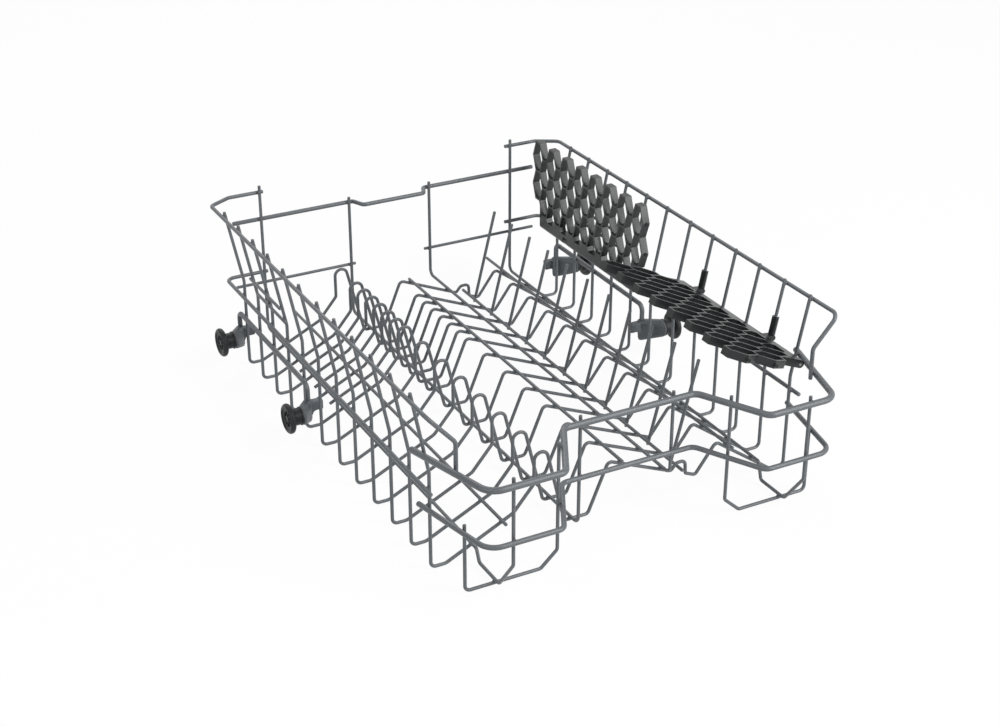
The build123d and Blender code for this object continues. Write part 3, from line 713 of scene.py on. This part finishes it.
def lathe(bm, profile, centre, side):
    """Turn a profile round a line along X; the profile starts and ends on that line."""
    poles = []
    rings = []
    angles = [2 * math.pi * k / WHEEL_SIDES for k in range(WHEEL_SIDES)]
    for depth, radius in profile:
        middle = Vector((side * (ROLLER_HALF_WIDTH - depth), *centre))
        if radius == 0:
            poles.append(bm.verts.new(middle * MM))
            continue
        spokes = [Vector((0, math.cos(a), math.sin(a))) * radius for a in angles]
        rings.append([bm.verts.new((middle + spoke) * MM) for spoke in spokes])
    for k in range(WHEEL_SIDES):
        n = (k + 1) % WHEEL_SIDES
        bm.faces.new((poles[0], rings[0][k], rings[0][n]))
        bm.faces.new((poles[1], rings[-1][n], rings[-1][k]))
        for low, high in zip(rings, rings[1:]):
            bm.faces.new((low[k], high[k], high[n], low[n]))


def roller(node, side, wheel_y):
    bm = bmesh.new()
    lathe(bm, wheel_profile(), (wheel_y, WHEEL_Z), side)
    spoke_middle = Vector((side * (ROLLER_HALF_WIDTH - SPOKE_DEPTH), wheel_y, WHEEL_Z))
    middle = Matrix.Translation(spoke_middle * MM)
    outward = Matrix.Translation((0, SPOKE_RADIUS * MM, 0))
    size = Matrix.Diagonal((*(v * MM for v in SPOKE_SIZE), 1))
    for k in range(SPOKES):
        turn = Matrix.Rotation(2 * math.pi * k / SPOKES, 4, "X")
        bmesh.ops.create_cube(bm, size=1, matrix=middle @ turn @ outward @ size)
    piece = finish_piece(bm, f"{node}_moulded", node, roller_finish, "roller_plastic", node)
    round_edges(piece, ROLLER_EDGE, segments=2, angle=SHARP_ANGLE)
    keep_faces_flat(piece)


# Brackets: a disc behind the drum, drawn out into a socket for the carrier's leg, and an arm inwards

BRACKET_TOP_Z = 35.6
BRACKET_BOTTOM_Z = 16.4
SOCKET_RADIUS = 3.1
SOCKET_TAPER = (0.7, 2.0)
SOCKET_TOP_RADIUS = 4.2
SOCKET_TOP_CHAMFER = (0.4, 1.0)
LEG_BORE_RADIUS = CARRIER / 2 + WELD_GAP
DISC_RADIUS = 8.3
DISC_FACE = 12.55
DISC_THICKNESS = 1.6
DISC_CHAMFER = 0.6
AXLE_RADIUS = 2.5
AXLE_END = 20.3
ARM_HALF_WIDTH = 3.2
ARM_REACH = 12.6
ARM_Z = (26.2, 34.8)
ARM_FILLET = 3.5
ARM_ROOT = 1.0
ARM_EDGE = 0.8
BODY_EDGE = 0.25
BORE_OVERRUN = 5.0
RING_SIDES = 32
FILLET_STEPS = 6


def ring_points(centre, radius, axis):
    """Points on a circle round a line along X or Z."""
    points = []
    for k in range(RING_SIDES):
        a = 2 * math.pi * k / RING_SIDES
        across, up = radius * math.cos(a), radius * math.sin(a)
        points.append(Vector(centre) + Vector((0, across, up) if axis == "X" else (across, up, 0)))
    return points


def loose_solid(bm, edge):
    """A working object, with its edges rounded, that is joined to others and then thrown away."""
    bmesh.ops.recalc_face_normals(bm, faces=bm.faces)
    mesh = bpy.data.meshes.new("working")
    bm.to_mesh(mesh)
    bm.free()
    solid = bpy.data.objects.new("working", mesh)
    bpy.context.scene.collection.objects.link(solid)
    if edge:
        round_edges(solid, edge, segments=3, angle=SHARP_SOLID_ANGLE)
    return solid


def hull(points, edge=0.0):
    """Closed convex skin round a set of points."""
    bm = bmesh.new()
    corners = [bm.verts.new(p * MM) for p in points]
    found = bmesh.ops.convex_hull(bm, input=corners)
    loose = set(found["geom_interior"]) | set(found["geom_unused"])
    bmesh.ops.delete(bm, geom=[v for v in loose if isinstance(v, bmesh.types.BMVert)], context="VERTS")
    return loose_solid(bm, edge)


def prism(outline, low_y, high_y, edge):
    """A closed outline of x and z, from one y to another."""
    bm = bmesh.new()
    near = [bm.verts.new(Vector((x, low_y, z)) * MM) for x, z in outline]
    far = [bm.verts.new(Vector((x, high_y, z)) * MM) for x, z in outline]
    bm.faces.new(near)
    bm.faces.new(far[::-1])
    for k in range(len(outline)):
        n = (k + 1) % len(outline)
        bm.faces.new((near[k], far[k], far[n], near[n]))
    return loose_solid(bm, edge)


def join_solids(first, others, cutter):
    """One mesh of solids that overlap, less a cutter; all the working objects go."""
    for solid in others + [cutter]:
        step = first.modifiers.new("join", "BOOLEAN")
        step.operation = "DIFFERENCE" if solid == cutter else "UNION"
        step.solver = "EXACT"
        step.object = solid
    bpy.context.view_layer.update()
    joined = first.evaluated_get(bpy.context.evaluated_depsgraph_get())
    mesh = bpy.data.meshes.new_from_object(joined)
    for solid in [first, *others, cutter]:
        bpy.data.objects.remove(solid)
    return mesh


def bracket_shape():
    """One bracket with its leg's axis as the Z axis and its wheel at +X, -Y."""
    bottom_z, top_z = BRACKET_BOTTOM_Z, BRACKET_TOP_Z
    body = ring_points((0, 0, bottom_z), SOCKET_RADIUS - SOCKET_TAPER[0], "Z")
    body += ring_points((0, 0, bottom_z + SOCKET_TAPER[1]), SOCKET_RADIUS, "Z")
    body += ring_points((0, 0, top_z - SOCKET_TOP_CHAMFER[1]), SOCKET_TOP_RADIUS, "Z")
    body += ring_points((0, 0, top_z), SOCKET_TOP_RADIUS - SOCKET_TOP_CHAMFER[0], "Z")
    disc_back = (DISC_FACE - DISC_THICKNESS, -WHEEL_OFFSET, WHEEL_Z)
    body += ring_points(disc_back, DISC_RADIUS, "X")
    body += ring_points((DISC_FACE, -WHEEL_OFFSET, WHEEL_Z), DISC_RADIUS - DISC_CHAMFER, "X")
    axle = ring_points(disc_back, AXLE_RADIUS, "X")
    axle += ring_points((AXLE_END, -WHEEL_OFFSET, WHEEL_Z), AXLE_RADIUS, "X")
    arm = [(ARM_ROOT, ARM_Z[1]), (-ARM_REACH, ARM_Z[1]), (-ARM_REACH, ARM_Z[0])]
    fillet_x, fillet_z = -SOCKET_RADIUS - ARM_FILLET, ARM_Z[0] - ARM_FILLET
    for k in range(FILLET_STEPS + 1):
        angle = math.pi / 2 * k / FILLET_STEPS
        arm.append((fillet_x + ARM_FILLET * math.sin(angle), fillet_z + ARM_FILLET * math.cos(angle)))
    arm.append((ARM_ROOT, fillet_z))
    bore = ring_points((0, 0, bottom_z - BORE_OVERRUN), LEG_BORE_RADIUS, "Z")
    bore += ring_points((0, 0, top_z + BORE_OVERRUN), LEG_BORE_RADIUS, "Z")
    others = [prism(arm, -ARM_HALF_WIDTH, ARM_HALF_WIDTH, ARM_EDGE), hull(axle)]
    return join_solids(hull(body, BODY_EDGE), others, hull(bore))


def bracket(node, shape, side, leg_x, leg_y):
    """A copy of the shape round one leg, mirrored on the left."""
    mesh = shape.copy()
    place = Matrix.Translation(Vector((side * leg_x, leg_y, 0)) * MM)
    mesh.transform(place @ Matrix.Diagonal((side, 1, 1, 1)))
    if side < 0:
        mesh.flip_normals()
    piece = add_piece(mesh, f"{node}_moulded", "basket", bracket_finish, "grey_plastic", node)
    mesh.set_sharp_from_angle(angle=SHARP_ANGLE)
    keep_faces_flat(piece)


one_bracket = bracket_shape()
for side, side_name in ((-1, "left"), (1, "right")):
    low, high = (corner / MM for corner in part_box(f"roller_carrier_{side_name}"))
    leg_x = abs(low.x + high.x) / 2
    for place, leg_y in (("rear", high.y - CARRIER / 2), ("front", low.y + CARRIER / 2)):
        bracket(f"roller_bracket_{side_name}_{place}", one_bracket, side, leg_x, leg_y)
        roller(f"roller_{side_name}_{place}", side, leg_y - WHEEL_OFFSET)
for place in ("rear", "front"):
    moulded_copy(f"cup_shelf_{place}", f"{place}_shelf", shelf_finish, "shelf_plastic", SHELF_EDGE)
    moulded_copy(f"shelf_clips_{place}", "basket", shelf_finish, "shelf_plastic", CLIP_EDGE)
    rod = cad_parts[f"shelf_rod_{place}"]
    rod.data.materials.clear()
    rod.data.materials.append(steel_finish)

# Camera: the photograph's viewpoint, looking down at the basket from the front left

CAMERA_PLACE = (-0.638, -1.1812, 0.7479)
CAMERA_DOWN = 27.275
CAMERA_TO_RIGHT = 27.952
CAMERA_LENS = 63.95
SENSOR_WIDTH = 36.0
camera_data = bpy.data.cameras.new("camera")
camera_data.sensor_width = SENSOR_WIDTH
camera_data.sensor_fit = "HORIZONTAL"
camera_data.lens = CAMERA_LENS
camera = bpy.data.objects.new("camera", camera_data)
camera.location = CAMERA_PLACE
camera.rotation_euler = (math.radians(90 - CAMERA_DOWN), 0.0, -math.radians(CAMERA_TO_RIGHT))
bpy.context.scene.collection.objects.link(camera)
bpy.context.scene.camera = camera

# Floor, world and lamps

FLOOR_SIZE = 8.0
FLOOR_COLOUR = (0.9, 0.9, 0.9, 1)
FLOOR_ROUGHNESS = 0.8
FLOOR_WHITE = 0.93
WHITE = (1, 1, 1, 1)
SKY_STRENGTH = 0.4
BASKET_MIDDLE = (0.0, 0.0, 0.07)


def seen_white(nodes, links):
    """1 for rays from the camera and for reflections, which see the white studio."""
    path = nodes.new("ShaderNodeLightPath")
    either = nodes.new("ShaderNodeMath")
    either.operation = "MAXIMUM"
    links.new(path.outputs["Is Camera Ray"], either.inputs[0])
    links.new(path.outputs["Is Glossy Ray"], either.inputs[1])
    return either.outputs[0]


bm = bmesh.new()
bmesh.ops.create_grid(bm, x_segments=1, y_segments=1, size=FLOOR_SIZE / 2)
floor_mesh = bpy.data.meshes.new("floor")
bm.to_mesh(floor_mesh)
bm.free()
floor = bpy.data.objects.new("floor", floor_mesh)
bpy.context.scene.collection.objects.link(floor)
floor_finish, nodes, links, shader = new_material("floor")
shader.inputs["Base Color"].default_value = FLOOR_COLOUR
shader.inputs["Roughness"].default_value = FLOOR_ROUGHNESS
glow = nodes.new("ShaderNodeEmission")
share = nodes.new("ShaderNodeMath")
share.operation = "MULTIPLY"
share.inputs[1].default_value = FLOOR_WHITE
mix = nodes.new("ShaderNodeMixShader")
links.new(seen_white(nodes, links), share.inputs[0])
links.new(share.outputs[0], mix.inputs["Fac"])
links.new(shader.outputs[0], mix.inputs[1])
links.new(glow.outputs[0], mix.inputs[2])
links.new(mix.outputs[0], nodes["Material Output"].inputs["Surface"])
floor_mesh.materials.append(floor_finish)

world = bpy.data.worlds.new("world")
world.use_nodes = True
bpy.context.scene.world = world
nodes, links = world.node_tree.nodes, world.node_tree.links
sky = nodes["Background"]
sky.inputs["Color"].default_value = WHITE
sky.inputs["Strength"].default_value = SKY_STRENGTH
white = nodes.new("ShaderNodeBackground")
white.inputs["Color"].default_value = WHITE
white.inputs["Strength"].default_value = 1.0
mix = nodes.new("ShaderNodeMixShader")
links.new(seen_white(nodes, links), mix.inputs["Fac"])
links.new(sky.outputs[0], mix.inputs[1])
links.new(white.outputs[0], mix.inputs[2])
links.new(mix.outputs[0], nodes["World Output"].inputs["Surface"])


def area_lamp(name, place, size, power):
    """A round lamp that faces the middle of the basket, with its power in watts."""
    data = bpy.data.lights.new(name, "AREA")
    data.shape = "DISK"
    data.size = size
    data.energy = power
    lamp = bpy.data.objects.new(name, data)
    lamp.location = place
    direction = Vector(BASKET_MIDDLE) - Vector(place)
    lamp.rotation_euler = direction.to_track_quat("-Z", "Y").to_euler()
    bpy.context.scene.collection.objects.link(lamp)


area_lamp("key_lamp", (0.9, -1.3, 1.6), size=0.9, power=24.0)
area_lamp("front_lamp", (1.2, -1.75, 0.6), size=0.8, power=16.0)
area_lamp("fill_lamp", (-1.3, -0.6, 1.1), size=1.2, power=7.0)
area_lamp("rear_lamp", (0.2, 1.4, 1.5), size=1.2, power=9.0)

bpy.context.scene.view_settings.view_transform = "Standard"
